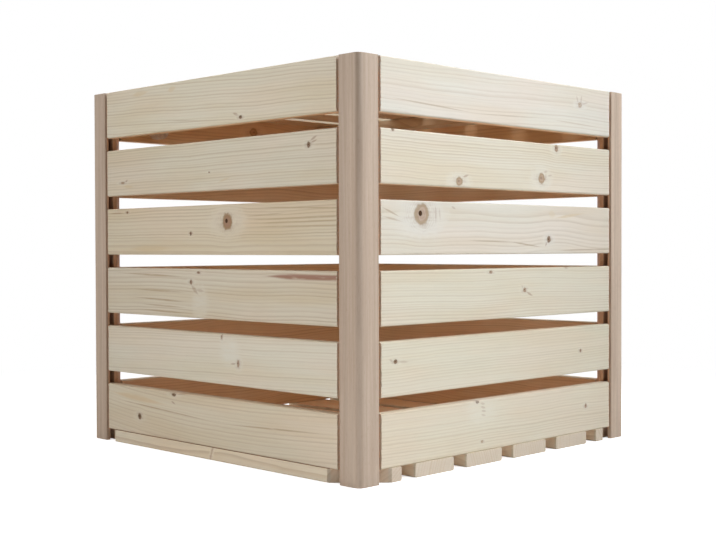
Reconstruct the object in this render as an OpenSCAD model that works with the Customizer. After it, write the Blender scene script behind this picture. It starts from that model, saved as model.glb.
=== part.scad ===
// Slatted wooden crate with a lift-out slatted lid.
// Grooved corner posts hold the tongues of the side slats, boards close the bottom,
// and the lid lies on four dowel pegs between the walls.
// Millimetres, +Z up, origin at the centre of the underside.

/* [Crate] */
// Outside width and depth over the posts
crate_w = 400; // [340:1:520]
// Gap between one side slat and the next
slat_gap = 13.5; // [8:0.5:20]

/* [Corner posts] */
// Side of the square post
post_w = 24; // [22:0.5:27]
// Radius of the outer corner of a post
post_round = 6; // [2:0.5:9]
// Leg of the flat cut along the inner corner of a post
post_chamfer = 10; // [4:0.5:10]
// Wood left between a post's outer face and its groove
groove_lip = 4.5; // [3.5:0.1:5]
// Width of the grooves
groove_w = 5; // [4.5:0.1:5.5]
// Depth of the grooves
groove_deep = 8; // [5:0.5:9]

/* [Side slats] */
// Height of a side slat
slat_h = 47.5; // [46:0.5:60]
// Thickness of a side slat
slat_t = 12; // [11:0.5:13]
// How far a slat's outer face lies inside the post's face
slat_inset = 0.5; // [0:0.1:1]
// Radius along the long edges of slats and boards
edge_round = 2; // [1:0.25:3]
// Sawn gap between a slat's shoulder and the post
shoulder_gap = 3; // [1:0.5:5]

/* [Base boards] */
// Width of a base board and of a full lid board
board_w = 52; // [50:1:54]
// Thickness of the base boards
base_t = 12.5; // [10:0.5:16]
// Room between a post's flat inner cut and the cut corner of a base board, along the wall
corner_room = 1.5; // [0.5:0.5:4]

/* [Lid] */
// Thickness of the lid boards and battens
lid_t = 12; // [10:0.5:13]
// Width of a lid batten
batten_w = 28; // [20:1:36]
// Distance from the outside of the crate to a batten's middle
batten_in = 72; // [66:1:90]
// How far the lid's top lies below the rim
lid_sunk = 1.5; // [0.5:0.5:4]
// Play between the lid's edge and the walls
lid_play = 1.5; // [1:0.5:4]

/* [Pegs and screws] */
// Diameter of the dowel pegs that carry the lid
peg_d = 18; // [12:1:20]
// How far a peg stands out of the wall
peg_reach = 13.5; // [8:0.5:20]
// Depth of the blind hole that holds a peg
peg_hole = 8; // [5:0.5:9]
// Diameter of a screw's shank
screw_d = 3.5; // [3:0.1:4]
// Diameter of a screw's head
head_d = 7; // [6:0.1:8]
// Length of the screws in the base
base_screw_l = 35; // [25:1:45]
// Length of the screws in the lid
lid_screw_l = 20; // [18:1:21]

/* [Hidden] */
$fn = 48;
rows = 6;
boards = 6;
// Tongue that slides into the groove, and the play that lets it
tongue_play = 0.1;
tongue_t = groove_w - 2 * tongue_play;
tongue_off = groove_lip + tongue_play - slat_inset;
tongue_l = groove_deep - 0.5;
// Gap that keeps the lid's battens just off the round pegs
rest_gap = 0.3;
// Play round the pegs and screws in their holes
hole_play = 0.05;
head_h = 2.2;
slot_w = 0.9;
slot_l = 4.2;
slot_deep = 1.2;
peg_chamfer = 1;
eps = 0.5;

half = crate_w / 2;
slat_pitch = slat_h + slat_gap;
batten_y = half - batten_in;
corner_cut = 2 * post_w - post_chamfer + corner_room;
crate_h = base_t + rows * slat_h + (rows - 1) * slat_gap;
span = crate_w - 2 * post_w;
slat_l = span + 2 * tongue_l;
shoulder_l = span - 2 * shoulder_gap;
wall_in = half - slat_inset - slat_t;
slat_mid = half - slat_inset - slat_t / 2;
board_pitch = (crate_w - board_w) / (boards - 1);
lid_half = wall_in - lid_play;
lid_top = crate_h - lid_sunk;
lid_z = lid_top - lid_t;
batten_z = lid_z - lid_t;
peg_z = batten_z - rest_gap - peg_d / 2;
// Screws: half the distance between a pair, the single ones beside the cut corners,
// the row along the outer boards, and the sideways step of the lid's screws
pair_half = 14;
edge_screw_y = half - (corner_cut - (half - slat_mid) + board_w) / 2;
edge_screw_x = [for (s = [-1:1]) s * 0.3 * crate_w];
batten_stagger = 6;

sides = ["front", "right", "back", "left"];
corners = ["front_left", "front_right", "back_right", "back_left"];
slat_names = [for (s = sides) for (r = [1:rows]) str(s, "_slat_", r)];
post_names = [for (c = corners) str(c, "_post")];
base_names = [for (k = [1:boards]) str("base_board_", k)];
lid_names = [for (k = [1:boards]) str("lid_board_", k)];
batten_names = ["front_lid_batten", "back_lid_batten"];
peg_names = [for (c = corners) str(c, "_lid_peg")];

function board_mid(k) = -half + board_w / 2 + (k - 1) * board_pitch;
function is_edge(k) = k == 1 || k == boards;

// A lid board's two sides in X: the outer boards are ripped narrower to fit the walls
function lid_x0(k) = max(board_mid(k) - board_w / 2, -lid_half);
function lid_x1(k) = min(board_mid(k) + board_w / 2, lid_half);
function lid_mid(k) = (lid_x0(k) + lid_x1(k)) / 2;

// Where the base screws stand, as [x, y]
function base_screws_at(k) =
    is_edge(k)
    ? concat([for (s = [-1, 1]) [s * slat_mid, sign(board_mid(k)) * edge_screw_y]],
             [for (x = edge_screw_x) [x, sign(board_mid(k)) * slat_mid]])
    : [for (s = [-1, 1]) for (p = [-1, 1]) [s * slat_mid, board_mid(k) + p * pair_half]];
all_base_screws = [for (k = [1:boards]) for (p = base_screws_at(k)) p];

// Where the lid screws stand, as [x, y]: two in each crossing of board and batten
function lid_screws_at(k, side) =
    [for (p = [-1, 1]) [lid_mid(k) + p * (lid_x1(k) - lid_x0(k)) / 4,
                        side * batten_y + p * side * batten_stagger]];

// Section of a planed board: width along X, thickness along Y, long edges rounded
module board_section(w, t) {
    translate([edge_round, 0]) square([w - 2 * edge_round, t]);
    translate([0, edge_round]) square([w, t - 2 * edge_round]);
    for (x = [edge_round, w - edge_round])
        for (y = [edge_round, t - edge_round])
            translate([x, y]) circle(r = edge_round);
}

// Planed board along X, its corner at the origin, width along Y, thickness along Z
module board_x(l, w, t) {
    rotate([90, 0, 90]) linear_extrude(l) board_section(w, t);
}

// Countersunk screw, head down at the origin, point up
module screw(l) {
    difference() {
        union() {
            cylinder(h = head_h, r1 = head_d / 2, r2 = screw_d / 2);
            cylinder(h = l - screw_d, r = screw_d / 2);
            translate([0, 0, l - screw_d]) cylinder(h = screw_d, r1 = screw_d / 2, r2 = screw_d / 10);
        }
        for (a = [0, 90])
            rotate([0, 0, a])
                translate([-slot_l / 2, -slot_w / 2, -eps]) cube([slot_l, slot_w, slot_deep + eps]);
    }
}

// Hole for a screw, the same shape with a little play
module screw_hole(l) {
    translate([0, 0, -eps]) cylinder(h = eps, r = head_d / 2 + hole_play);
    cylinder(h = head_h + hole_play, r1 = head_d / 2 + hole_play, r2 = screw_d / 2 + hole_play);
    cylinder(h = l + hole_play, r = screw_d / 2 + hole_play);
}

// Corner post, its outer corner at the origin: two grooves, round outside, flat inside
module post_section() {
    difference() {
        union() {
            translate([post_round, 0]) square([post_w - post_round, post_w]);
            translate([0, post_round]) square([post_w, post_w - post_round]);
            translate([post_round, post_round]) circle(r = post_round);
        }
        translate([post_w - groove_deep, groove_lip]) square([groove_deep + eps, groove_w]);
        translate([groove_lip, post_w - groove_deep]) square([groove_w, groove_deep + eps]);
        polygon([[post_w + eps, post_w - post_chamfer - eps],
                 [post_w + eps, post_w + eps],
                 [post_w - post_chamfer - eps, post_w + eps]]);
    }
}

module post(corner) {
    color([0.72, 0.60, 0.49])
        rotate([0, 0, 90 * corner])
            translate([-half, -half, 0]) linear_extrude(crate_h) post_section();
}

// Blind holes for two pegs in the inner face of a front slat
module peg_holes() {
    for (s = [-1, 1])
        translate([s * batten_y, -wall_in + eps, peg_z])
            rotate([90, 0, 0]) cylinder(h = peg_hole + eps, r = peg_d / 2 + hole_play);
}

// Side slat of the front wall: a planed board whose ends are rebated to tongues
module front_slat(row) {
    z = base_t + (row - 1) * slat_pitch;
    face_y = -half + slat_inset;
    rebate_l = (slat_l - shoulder_l) / 2 + eps;
    rebate_h = slat_h + 2 * eps;
    difference() {
        translate([-slat_l / 2, -wall_in, z])
            rotate([90, 0, 0]) board_x(slat_l, slat_h, slat_t);
        for (x = [-slat_l / 2 - eps, shoulder_l / 2]) {
            translate([x, face_y - eps, z - eps]) cube([rebate_l, tongue_off + eps, rebate_h]);
            translate([x, face_y + tongue_off + tongue_t, z - eps]) cube([rebate_l, slat_t, rebate_h]);
        }
    }
}

// A slat in its wall, with the holes that its row and side have
module wall_slat(side, row) {
    color([0.86, 0.80, 0.69])
        difference() {
            rotate([0, 0, 90 * side]) front_slat(row);
            if (row == 1)
                for (p = all_base_screws)
                    translate([p.x, p.y, 0]) screw_hole(base_screw_l);
            if (row == rows && side % 2 == 1)
                rotate([0, 0, 90 * side]) peg_holes();
        }
}

// Triangles that take the corners off a board by the posts
module corner_cuts(leg, z0, z1) {
    for (a = [0:3])
        rotate([0, 0, 90 * a])
            translate([0, 0, z0]) linear_extrude(z1 - z0)
                polygon([[-half - eps, -half - eps], [-half + leg + eps, -half - eps],
                         [-half - eps, -half + leg + eps]]);
}

module base_board(k) {
    color([0.83, 0.74, 0.62])
        difference() {
            translate([-half, board_mid(k) - board_w / 2, 0]) board_x(crate_w, board_w, base_t);
            if (is_edge(k)) corner_cuts(corner_cut, -eps, base_t + eps);
            for (p = base_screws_at(k))
                translate([p.x, p.y, 0]) screw_hole(base_screw_l);
        }
}

module base_screws() {
    color([0.75, 0.70, 0.55])
        for (p = all_base_screws)
            translate([p.x, p.y, 0]) screw(base_screw_l);
}

module lid_board(k) {
    w = lid_x1(k) - lid_x0(k);
    color([0.84, 0.77, 0.65])
        difference() {
            translate([lid_x1(k), -lid_half, lid_z])
                rotate([0, 0, 90]) board_x(2 * lid_half, w, lid_t);
            if (is_edge(k)) corner_cuts(corner_cut + lid_play, lid_z - eps, lid_top + eps);
            for (side = [-1, 1])
                for (p = lid_screws_at(k, side))
                    translate([p.x, p.y, batten_z]) screw_hole(lid_screw_l);
        }
}

module lid_batten(side) {
    color([0.82, 0.74, 0.62])
        difference() {
            translate([-lid_half, side * batten_y - batten_w / 2, batten_z])
                board_x(2 * lid_half, batten_w, lid_t);
            for (k = [1:boards])
                for (p = lid_screws_at(k, side))
                    translate([p.x, p.y, batten_z]) screw_hole(lid_screw_l);
        }
}

module lid_screws() {
    color([0.75, 0.70, 0.55])
        for (side = [-1, 1])
            for (k = [1:boards])
                for (p = lid_screws_at(k, side))
                    translate([p.x, p.y, batten_z]) screw(lid_screw_l);
}

// Dowel peg in the wall beside a corner, its inner end chamfered
module lid_peg(corner) {
    sx = corner == 1 || corner == 2 ? 1 : -1;
    sy = corner > 1 ? 1 : -1;
    body_l = peg_reach + peg_hole - peg_chamfer;
    color([0.78, 0.64, 0.50])
        translate([sx * (wall_in + peg_hole), sy * batten_y, peg_z])
            rotate([0, -90 * sx, 0]) {
                cylinder(h = body_l, r = peg_d / 2);
                translate([0, 0, body_l])
                    cylinder(h = peg_chamfer, r1 = peg_d / 2, r2 = peg_d / 2 - peg_chamfer);
            }
}

for (c = [0:3])
    post(c);
for (s = [0:3])
    for (r = [1:rows])
        wall_slat(s, r);
for (k = [1:boards])
    base_board(k);
base_screws();
for (k = [1:boards])
    lid_board(k);
lid_batten(-1);  // front_lid_batten
lid_batten(1);  // back_lid_batten
lid_screws();
for (c = [0:3])
    lid_peg(c);
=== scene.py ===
"""Dresses the frame of a slatted wooden crate: grooved posts, planed slats, a base and a loose lid."""

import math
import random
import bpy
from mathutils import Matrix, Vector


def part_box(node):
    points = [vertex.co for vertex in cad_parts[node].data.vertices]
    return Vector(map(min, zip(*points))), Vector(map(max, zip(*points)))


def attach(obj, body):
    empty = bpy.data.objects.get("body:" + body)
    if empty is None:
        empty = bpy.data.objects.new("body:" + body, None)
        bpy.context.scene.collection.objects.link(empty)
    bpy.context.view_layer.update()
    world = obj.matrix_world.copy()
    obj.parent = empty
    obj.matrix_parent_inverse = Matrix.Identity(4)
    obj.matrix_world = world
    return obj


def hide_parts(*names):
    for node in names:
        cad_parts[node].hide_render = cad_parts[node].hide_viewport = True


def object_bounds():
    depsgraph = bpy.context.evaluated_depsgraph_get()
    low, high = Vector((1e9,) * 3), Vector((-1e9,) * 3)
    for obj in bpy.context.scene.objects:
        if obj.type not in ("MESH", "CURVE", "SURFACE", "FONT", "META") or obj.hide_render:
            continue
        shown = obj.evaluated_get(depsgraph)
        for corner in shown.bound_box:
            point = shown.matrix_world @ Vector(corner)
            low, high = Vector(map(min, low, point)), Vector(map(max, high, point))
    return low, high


bl_info = {
    "name": "Slatted Crate Workshop",
    "version": (1, 0, 0),
    "blender": (4, 5, 0),
    "location": "3D View > Sidebar > Crate",
    "description": "Makes the wooden pieces of a slatted crate on its CAD frame",
    "category": "Add Mesh",
}

from collections import namedtuple

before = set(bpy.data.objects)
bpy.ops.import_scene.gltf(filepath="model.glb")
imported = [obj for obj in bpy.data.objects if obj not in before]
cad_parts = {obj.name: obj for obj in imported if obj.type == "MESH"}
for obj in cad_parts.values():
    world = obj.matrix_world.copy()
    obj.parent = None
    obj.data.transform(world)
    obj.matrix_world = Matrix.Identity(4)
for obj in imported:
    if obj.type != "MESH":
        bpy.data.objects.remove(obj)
cad_low, cad_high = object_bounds()

import bmesh
import bpy
from bpy.props import FloatProperty, FloatVectorProperty, PointerProperty
from bpy.types import Operator, Panel, PropertyGroup
from mathutils import Matrix, Vector

MM = 0.001
CRATE = "crate"
LID = "lid"
ROWS = 6
BOARDS = 6
# Places nearer to each other than this count as one
NEAR = 0.01 * MM
# Faces that meet at more than this make an edge that is broken
SHARP = math.radians(30)
X = Vector((1, 0, 0))
Y = Vector((0, 1, 0))
Z = Vector((0, 0, 1))

# Each wall as the direction its slats run and the direction its show face looks
WALLS = {
    "front": (X, -Y),
    "right": (Y, X),
    "back": (-X, Y),
    "left": (-Y, -X),
}
CORNERS = ("front_left", "front_right", "back_right", "back_left")

# How light each post's timber is beside the others
POST_SHADES = {"front_left": 1.02, "front_right": 1.0, "back_right": 1.16, "back_left": 1.0}

# A knot in millimetres from the middle of a board's show face: place, half its size along and
# across the grain, and how dark it is, from 0 to 1
Knot = namedtuple("Knot", "along across half_along half_across dark")

# A tapered stroke on a show face in millimetres: start, end, half its width, its colour among the
# finish's colours and how well it covers the wood. A blunt one keeps its width to the end
KNOT = "knot_wood"
LATE = "spruce_late"
WARM = "spruce_warm"
Stroke = namedtuple("Stroke", "start end half colour cover blunt", defaults=(KNOT, 0.5, False))

# How a board was cut: the heart of the tree in millimetres across and behind the show face and
# the distance between two rings, then slope, bow and sway of the grain, how strong its rings show,
# a seed for its noise, a tint over the wood, its knots and its strokes
Cut = namedtuple(
    "Cut", "heart ring slope bow sway strength seed tint knots strokes",
    defaults=(0.0, 0.0, 0.25, 1.0, 1, (1, 1, 1), (), ()))

# Tints over the boards of the base and the lid. The base's is painted light: it brightens the boards as light
# bounced up from the floor onto their sides would
BASE_PAINTED_LIGHT_TINT = (1.12, 1.10, 1.08)
LID_TINT = (0.95, 0.95, 0.95)

# How much of the painted warm bounce shade inside the crate the lid's underside has, and a tint that deepens
# that painted shade near the lid
LID_BOUNCE_SHADE = 0.6
UNDER_LID_SHADE_TINT = (0.98, 0.88, 0.76)

# How strongly planed wood shines
WOOD_SHEEN = 0.14

# The twelve slats whose show faces the camera sees, the base board under the left ones and three
# slats behind the gaps
SEEN_BOARDS = {
    "back_slat_1": Cut(heart=(-80, -30), ring=3.1, sway=0.8, seed=32, knots=[Knot(120, -14, 2.6, 2.3, 0.5)]),
    "back_slat_2": Cut(heart=(95, -35), ring=3.0, sway=0.6, seed=33, knots=[Knot(-96, -9, 1.8, 1.6, 0.6)]),
    "left_slat_1": Cut(heart=(70, -40), ring=3.2, sway=0.7, seed=34, knots=[Knot(-110, -12, 2.2, 2.4, 0.4)]),
    # Its tint lightens it as painted light, as the other base boards' tint does
    "base_board_1": Cut(
        heart=(60, -60), ring=3.0, seed=31, tint=(1.07, 1.03, 1.0), knots=[Knot(3.2, -25, 1.0, 3.0, 0.0)]),
    "front_slat_6": Cut(
        heart=(120, -35), ring=2.8, slope=-0.035, seed=11, tint=(0.97, 0.97, 0.95),
        knots=[Knot(46, -18.6, 2.2, 1.6, 0.9)],
        strokes=[
            Stroke((44, -17), (33, -13.5), 1.5), Stroke((-132, 16), (-94, 18.5), 3.0, WARM, 0.6),
            Stroke((-68, 15.5), (-50, 18.5), 3.0, WARM, 0.6),
            Stroke((-90, -11.5), (30, -21), 0.9, LATE, 0.5),
        ]),
    "front_slat_5": Cut(
        heart=(-110, -30), ring=2.7, seed=12, tint=(0.91, 0.91, 0.895),
        knots=[
            Knot(138.3, 11.3, 2.2, 2.5, 0.85), Knot(-144.5, -10.7, 3.0, 1.2, 0.35),
            Knot(-1, -6.3, 1.2, 0.8, 0.55)],
        strokes=[
            Stroke((139, 14), (151, 19.5), 1.3), Stroke((140, 12.5), (151, 15.5), 1.0),
            Stroke((-141, -10), (-134, -7.5), 1.2, KNOT, 0.6),
            Stroke((-146, -14), (-122, -16), 1.8, WARM, 0.8),
            Stroke((10, -17), (34, -11.5), 1.2, WARM, 0.7),
        ]),
    "front_slat_4": Cut(
        heart=(-32, -20), ring=2.9, sway=0.35, strength=1.2, seed=13, tint=(0.90, 0.86, 0.80),
        knots=[
            Knot(26.2, 7.4, 7.0, 7.5, 0.52), Knot(-30, -3.2, 1.6, 1.8, 0.9),
            Knot(-136.8, 19.6, 1.6, 1.3, 0.75)],
        strokes=[
            Stroke((-138, 19.2), (-176, 19), 0.9), Stroke((42, 8), (176, 9.5), 0.9, LATE, 0.8, True),
            Stroke((46, 5), (176, 6), 0.9, LATE, 0.8, True),
            Stroke((50, 2), (176, 1.5), 0.9, LATE, 0.7, True),
            Stroke((60, 20), (176, 16.5), 0.9, LATE, 0.8, True),
            Stroke((44, 11), (120, 14.5), 0.8, LATE, 0.7), Stroke((-140, -18), (-50, -17), 3.5, WARM, 0.6),
        ]),
    "front_slat_3": Cut(
        heart=(70, -30), ring=3.3, strength=1.1, seed=14, tint=(0.875, 0.855, 0.83),
        knots=[
            Knot(-18, 20.3, 2.6, 1.2, 0.55), Knot(-30, 10.9, 2.0, 2.4, 0.65),
            Knot(-16, -10, 3.2, 8.0, -1.0)],
        strokes=[
            Stroke((-31, 9), (-17, -2.5), 2.4, KNOT, 0.4), Stroke((-24, 4), (-7, 2), 1.6, KNOT, 0.3),
            Stroke((-28, 0.5), (-140, 2.5), 1.2, LATE, 0.9),
            Stroke((-26, -9), (-140, -5.5), 1.2, LATE, 1.0),
            Stroke((-26, -20), (-130, -17.5), 1.2, LATE, 1.0),
            Stroke((-28, -14.5), (-132, -12), 1.0, LATE, 0.8),
            Stroke((-28, 15.5), (-172, 19), 1.2, LATE, 0.9),
            Stroke((68, 18.4), (190, 17.6), 2.9, "resin", 0.82, True),
        ]),
    "front_slat_2": Cut(
        heart=(-140, -35), ring=2.8, slope=0.03, strength=0.7, seed=15, tint=(0.955, 0.965, 0.965),
        knots=[
            Knot(41, -2.6, 1.9, 3.2, 0.5), Knot(17, 21.3, 1.1, 2.4, 0.5), Knot(28, 8, 3.6, 6.5, -1.0)],
        strokes=[Stroke((39, -2.8), (28, -3.6), 1.0)]),
    "front_slat_1": Cut(
        heart=(75, -32), ring=3.3, slope=-0.014, bow=0.27, sway=0.1, strength=0.75, seed=16,
        tint=(0.95, 0.915, 0.87),
        knots=[Knot(-58.7, 21.3, 3.4, 1.6, 0.9), Knot(-116.9, -5.6, 2.8, 3.0, 0.95)],
        strokes=[
            Stroke((-56, 22), (-34, 24), 1.0), Stroke((-64, 15), (-55, 11.5), 1.1),
            Stroke((-176, 16), (-60, 9.5), 3.4, WARM, 0.8), Stroke((-176, 9.5), (30, -0.8), 0.9, LATE, 1.0),
            Stroke((176, 5.8), (0, -0.6), 0.9, LATE, 1.0),
        ]),
    "right_slat_6": Cut(
        heart=(120, -45), ring=3.4, slope=0.012, sway=0.3, strength=0.58, seed=21, tint=(0.995, 1.01, 1.07),
        knots=[Knot(119.7, 5.4, 3.2, 2.4, 0.15)],
        strokes=[
            Stroke((117, 6), (113, 16), 1.3, KNOT, 0.3), Stroke((121, 6), (123, 17), 1.3, KNOT, 0.3),
            Stroke((122, 6), (137, 9.5), 1.0, KNOT, 0.3),
            Stroke((-176, -10.2), (-30, -16.5), 0.8, LATE, 0.8),
            Stroke((-60, -16.5), (70, -12.5), 0.8, LATE, 0.6),
            Stroke((60, -12.6), (176, -16), 0.8, LATE, 0.5),
        ]),
    "right_slat_5": Cut(
        heart=(-120, -30), ring=2.5, strength=0.8, seed=22, tint=(0.99, 0.985, 0.985),
        knots=[
            Knot(-158, 23.2, 1.4, 1.8, 0.9), Knot(-70, -18.4, 4.6, 3.8, 0.3),
            Knot(54.6, -10.8, 4.7, 4.9, 0.28), Knot(79, 20, 2.7, 3.6, 0.55)],
        strokes=[
            Stroke((-66, -14.5), (-55, -11.5), 1.2), Stroke((61, -15), (62, -3), 1.0, KNOT, 0.35),
            Stroke((57, -5), (66, -3), 1.2, KNOT, 0.3), Stroke((63, -8.5), (74, -6.5), 1.0, KNOT, 0.35),
        ]),
    "right_slat_4": Cut(
        heart=(22, -24), ring=3.3, slope=-0.012, sway=0.5, strength=0.72, seed=23, tint=(0.975, 0.985, 1.03),
        knots=[Knot(-121.2, 11.8, 8.8, 9.2, 0.22), Knot(66.5, -9.7, 2.8, 3.1, 0.85)],
        strokes=[
            Stroke((-103, 22), (-102, 2), 1.2, KNOT, 0.3), Stroke((-98, 20), (-96, 4), 0.9, KNOT, 0.25),
            Stroke((-82, 20), (-74, 17), 1.1, KNOT, 0.35), Stroke((-66, -11), (20, -12.2), 0.8, LATE, 1.0),
            Stroke((0, -11.5), (62, -18), 0.9, LATE, 1.2), Stroke((64, -12), (60, -17), 1.2),
            Stroke((64, 17), (80, 14), 4.0, WARM, 0.5), Stroke((72, 11), (134, 18), 1.6, WARM, 0.9),
            Stroke((70, -20.5), (176, -19.5), 0.9, LATE, 0.9, True),
            Stroke((-174, 18), (-146, 8), 1.0, LATE, 0.9), Stroke((-174, 10), (-140, 4), 1.0, LATE, 0.7),
        ]),
    "right_slat_3": Cut(
        heart=(110, -30), ring=2.5, slope=-0.01, sway=0.2, strength=0.7, seed=24, tint=(0.955, 0.955, 0.94),
        knots=[
            Knot(-24.8, 20.6, 2.5, 1.4, 0.5), Knot(27.5, 2.5, 2.2, 2.3, 0.45),
            Knot(96, 23.5, 2.0, 1.2, 0.15)],
        strokes=[Stroke((29, 1), (42, -4.5), 1.3), Stroke((25, 4), (22, 8), 1.0, KNOT, 0.3)]),
    "right_slat_2": Cut(
        heart=(-130, -40), ring=2.6, slope=0.005, sway=0.2, strength=0.5, seed=25, tint=(0.965, 0.965, 0.94),
        knots=[Knot(-155.2, 6.5, 2.2, 1.9, 0.85), Knot(120.8, -0.9, 1.6, 1.8, 0.7)],
        strokes=[
            Stroke((-153, 6), (-136, 5), 1.2, KNOT, 0.3), Stroke((-158, 7), (-164, 9), 1.2, KNOT, 0.35),
        ]),
    "right_slat_1": Cut(
        heart=(125, -30), ring=2.8, slope=-0.012, sway=0.2, strength=0.55, seed=26, tint=(0.985, 0.97, 0.94),
        knots=[
            Knot(-44.5, 22.5, 2.4, 1.5, 0.85), Knot(130.2, 2.8, 1.8, 2.4, 0.5), Knot(-38, -15, 1.5, 1.3, 0.2),
            Knot(-37.5, 15.6, 6.0, 6.5, -0.5)],
        strokes=[
            Stroke((-41, 21), (-32, 19.5), 1.3, KNOT, 0.3), Stroke((-41, 18), (-31, 15.5), 1.3, KNOT, 0.35),
            Stroke((-40, 14), (-30, 12.5), 1.2, KNOT, 0.3),
            Stroke((-40, 10.5), (-31, 8.5), 1.2, KNOT, 0.25),
        ]),
}


def length(name, description, size, low, high):
    """A length in the sidebar, given here in millimetres."""
    return FloatProperty(
        name=name, description=description, default=size * MM, min=low * MM, max=high * MM, unit="LENGTH")


class CrateSizes(PropertyGroup):
    """Sizes of the joinery that the frame's boxes don't give."""

    edge_round: length("Planed edge", "Radius along the long edges of slats and boards", 1.5, 0.5, 3)
    lid_arris: length(
        "Lid's lower edge", "Radius along the lower long edges of the lid's boards", 0.4, 0.2, 2)
    end_break: length("Broken edge", "Small bevel on sawn ends and on the posts' edges", 0.4, 0.1, 1)
    post_round: length("Post rounding", "Radius of a post's outer corner", 6, 2, 9)
    post_chamfer: length("Post flat", "Leg of the flat along a post's inner corner", 10, 4, 10)
    groove_lip: length("Groove lip", "Wood between a post's outer face and its groove", 4.5, 3.5, 5)
    groove_width: length("Groove width", "Width of a post's grooves", 5, 4.5, 5.5)
    groove_depth: length("Groove depth", "Depth of a post's grooves", 8, 5, 9)
    tongue_length: length("Tongue length", "Length of a slat's tongue from its shoulder", 10.5, 6, 14)
    tongue_thickness: length("Tongue thickness", "Thickness of a slat's tongue", 4.8, 4, 5.4)
    tongue_set: length("Tongue set-back", "From a slat's show face to its tongue", 4.1, 3, 5)
    torn_shoulder: length(
        "Torn shoulder", "How far the saw tears fibres out of a slat's shoulder", 0.5, 0, 1.5)
    base_corner: length(
        "Base corner cut", "Leg of the cut that takes an outer base board round a post", 39.5, 20, 50)
    lid_corner: length("Lid corner cut", "Leg of the cut that takes the lid round a post", 41, 20, 52)
    peg_chamfer: length("Peg chamfer", "Bevel round the free end of a peg", 1, 0.3, 2)
    screw_head: length("Screw head", "Diameter of a screw's head", 7, 5, 9)
    screw_shank: length("Screw shank", "Diameter of a screw's shank", 3.5, 2.5, 4.5)
    head_height: length("Head height", "Height of a screw's countersunk head", 2.2, 1, 4)


def swatch(name, description, default):
    """A colour in the sidebar."""
    return FloatVectorProperty(
        name=name, description=description, default=default, size=3, min=0, max=1, subtype="COLOR")


class CrateFinish(PropertyGroup):
    """Colours of the timber and the screws."""

    spruce_early: swatch("Spruce, spring wood", "Pale wood between the rings", (0.80, 0.725, 0.60))
    spruce_late: swatch("Spruce, summer wood", "Darker line of each ring", (0.58, 0.46, 0.32))
    spruce_warm: swatch("Spruce, warm bands", "Colour of the slow bands along a board", (0.74, 0.60, 0.40))
    spruce_pale: swatch("Spruce, round a knot", "Pale, still wood beside a knot", (0.82, 0.78, 0.68))
    # Painted warm bounce shade: inner faces take this colour in place of the light the wood bounces round
    # inside the crate
    spruce_bounce_shade: swatch("Spruce, inner faces", "Painted warm bounce shade on the wood inside the crate", (1.0, 0.74, 0.51))
    knot_wood: swatch("Knot", "Body of a knot", (0.38, 0.215, 0.13))
    knot_pale: swatch("Knot, living", "Body of a pale knot", (0.56, 0.39, 0.245))
    knot_bark: swatch("Knot heart", "Dark heart of a knot", (0.065, 0.026, 0.007))
    knot_rim: swatch("Knot rim", "Edge of a knot's body", (0.36, 0.25, 0.125))
    resin: swatch("Resin", "Filled resin pocket", (0.35, 0.145, 0.09))
    sawn: swatch("Sawn wood", "Rough wood of shoulders and tongues", (0.78, 0.65, 0.52))
    end_grain: swatch("End grain", "Sawn ends of the boards", (0.63, 0.535, 0.435))
    beech_pale: swatch("Beech", "Posts", (0.59, 0.465, 0.36))
    # Painted light: the pegs are this pale to stand in for light on them where they lie in shade
    peg: swatch("Peg", "Turned pegs under the lid", (0.95, 0.79, 0.64))
    beech_dark: swatch("Beech, flecks", "Fine flecks and streaks in the beech", (0.40, 0.27, 0.19))
    zinc: swatch("Zinc", "Yellow passivated steel of the screws", (0.72, 0.62, 0.38))


class CrateStage(PropertyGroup):
    """Camera, lights and floor."""

    camera_place: FloatVectorProperty(
        name="Camera", description="Where the camera stands",
        default=(0.9128, -0.9148, 0.20125), size=3, subtype="TRANSLATION", unit="LENGTH")
    heading: FloatProperty(
        name="Heading", description="Turn of the camera about the upright, from looking along +Y",
        default=math.radians(44.963), subtype="ANGLE")
    pitch: FloatProperty(
        name="Pitch", description="How far the camera looks down",
        default=math.radians(1.019), subtype="ANGLE")
    roll: FloatProperty(
        name="Roll", description="Clockwise lean of the camera",
        default=math.radians(0.161), subtype="ANGLE")
    lens: FloatProperty(
        name="Lens", description="Focal length on a 36 mm wide sensor, in millimetres",
        default=60.93, min=10, max=200)
    floor_colour: swatch("Floor", "Pale floor", (0.9, 0.9, 0.9))


def look_up(collection, identifier):
    return next(socket for socket in collection if socket.identifier == identifier)


class Value:
    """A node's output that can be reckoned with. Each step of the reckoning is one more node."""

    def __init__(self, nodes, socket):
        self.nodes = nodes
        self.socket = socket

    def __add__(self, other):
        return self.nodes.math("ADD", self, other)

    def __sub__(self, other):
        return self.nodes.math("SUBTRACT", self, other)

    def __rsub__(self, other):
        return self.nodes.math("SUBTRACT", other, self)

    def __mul__(self, other):
        return self.nodes.math("MULTIPLY", self, other)

    def __truediv__(self, other):
        return self.nodes.math("DIVIDE", self, other)

    def __abs__(self):
        return self.nodes.math("ABSOLUTE", self)

    def of(self, operation):
        """This value through an operation of one input."""
        return self.nodes.math(operation, self)

    def fit(self, factor, offset):
        """This value times factor, plus offset."""
        return self.nodes.math("MULTIPLY_ADD", self, factor, offset)

    def step(self, start, end, low=0.0, high=1.0):
        """A smooth step of this value from start to end."""
        inputs = {0: self, 1: start, 2: end, 3: low, 4: high}
        return self.nodes.value("ShaderNodeMapRange", inputs, interpolation_type="SMOOTHSTEP")


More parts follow.
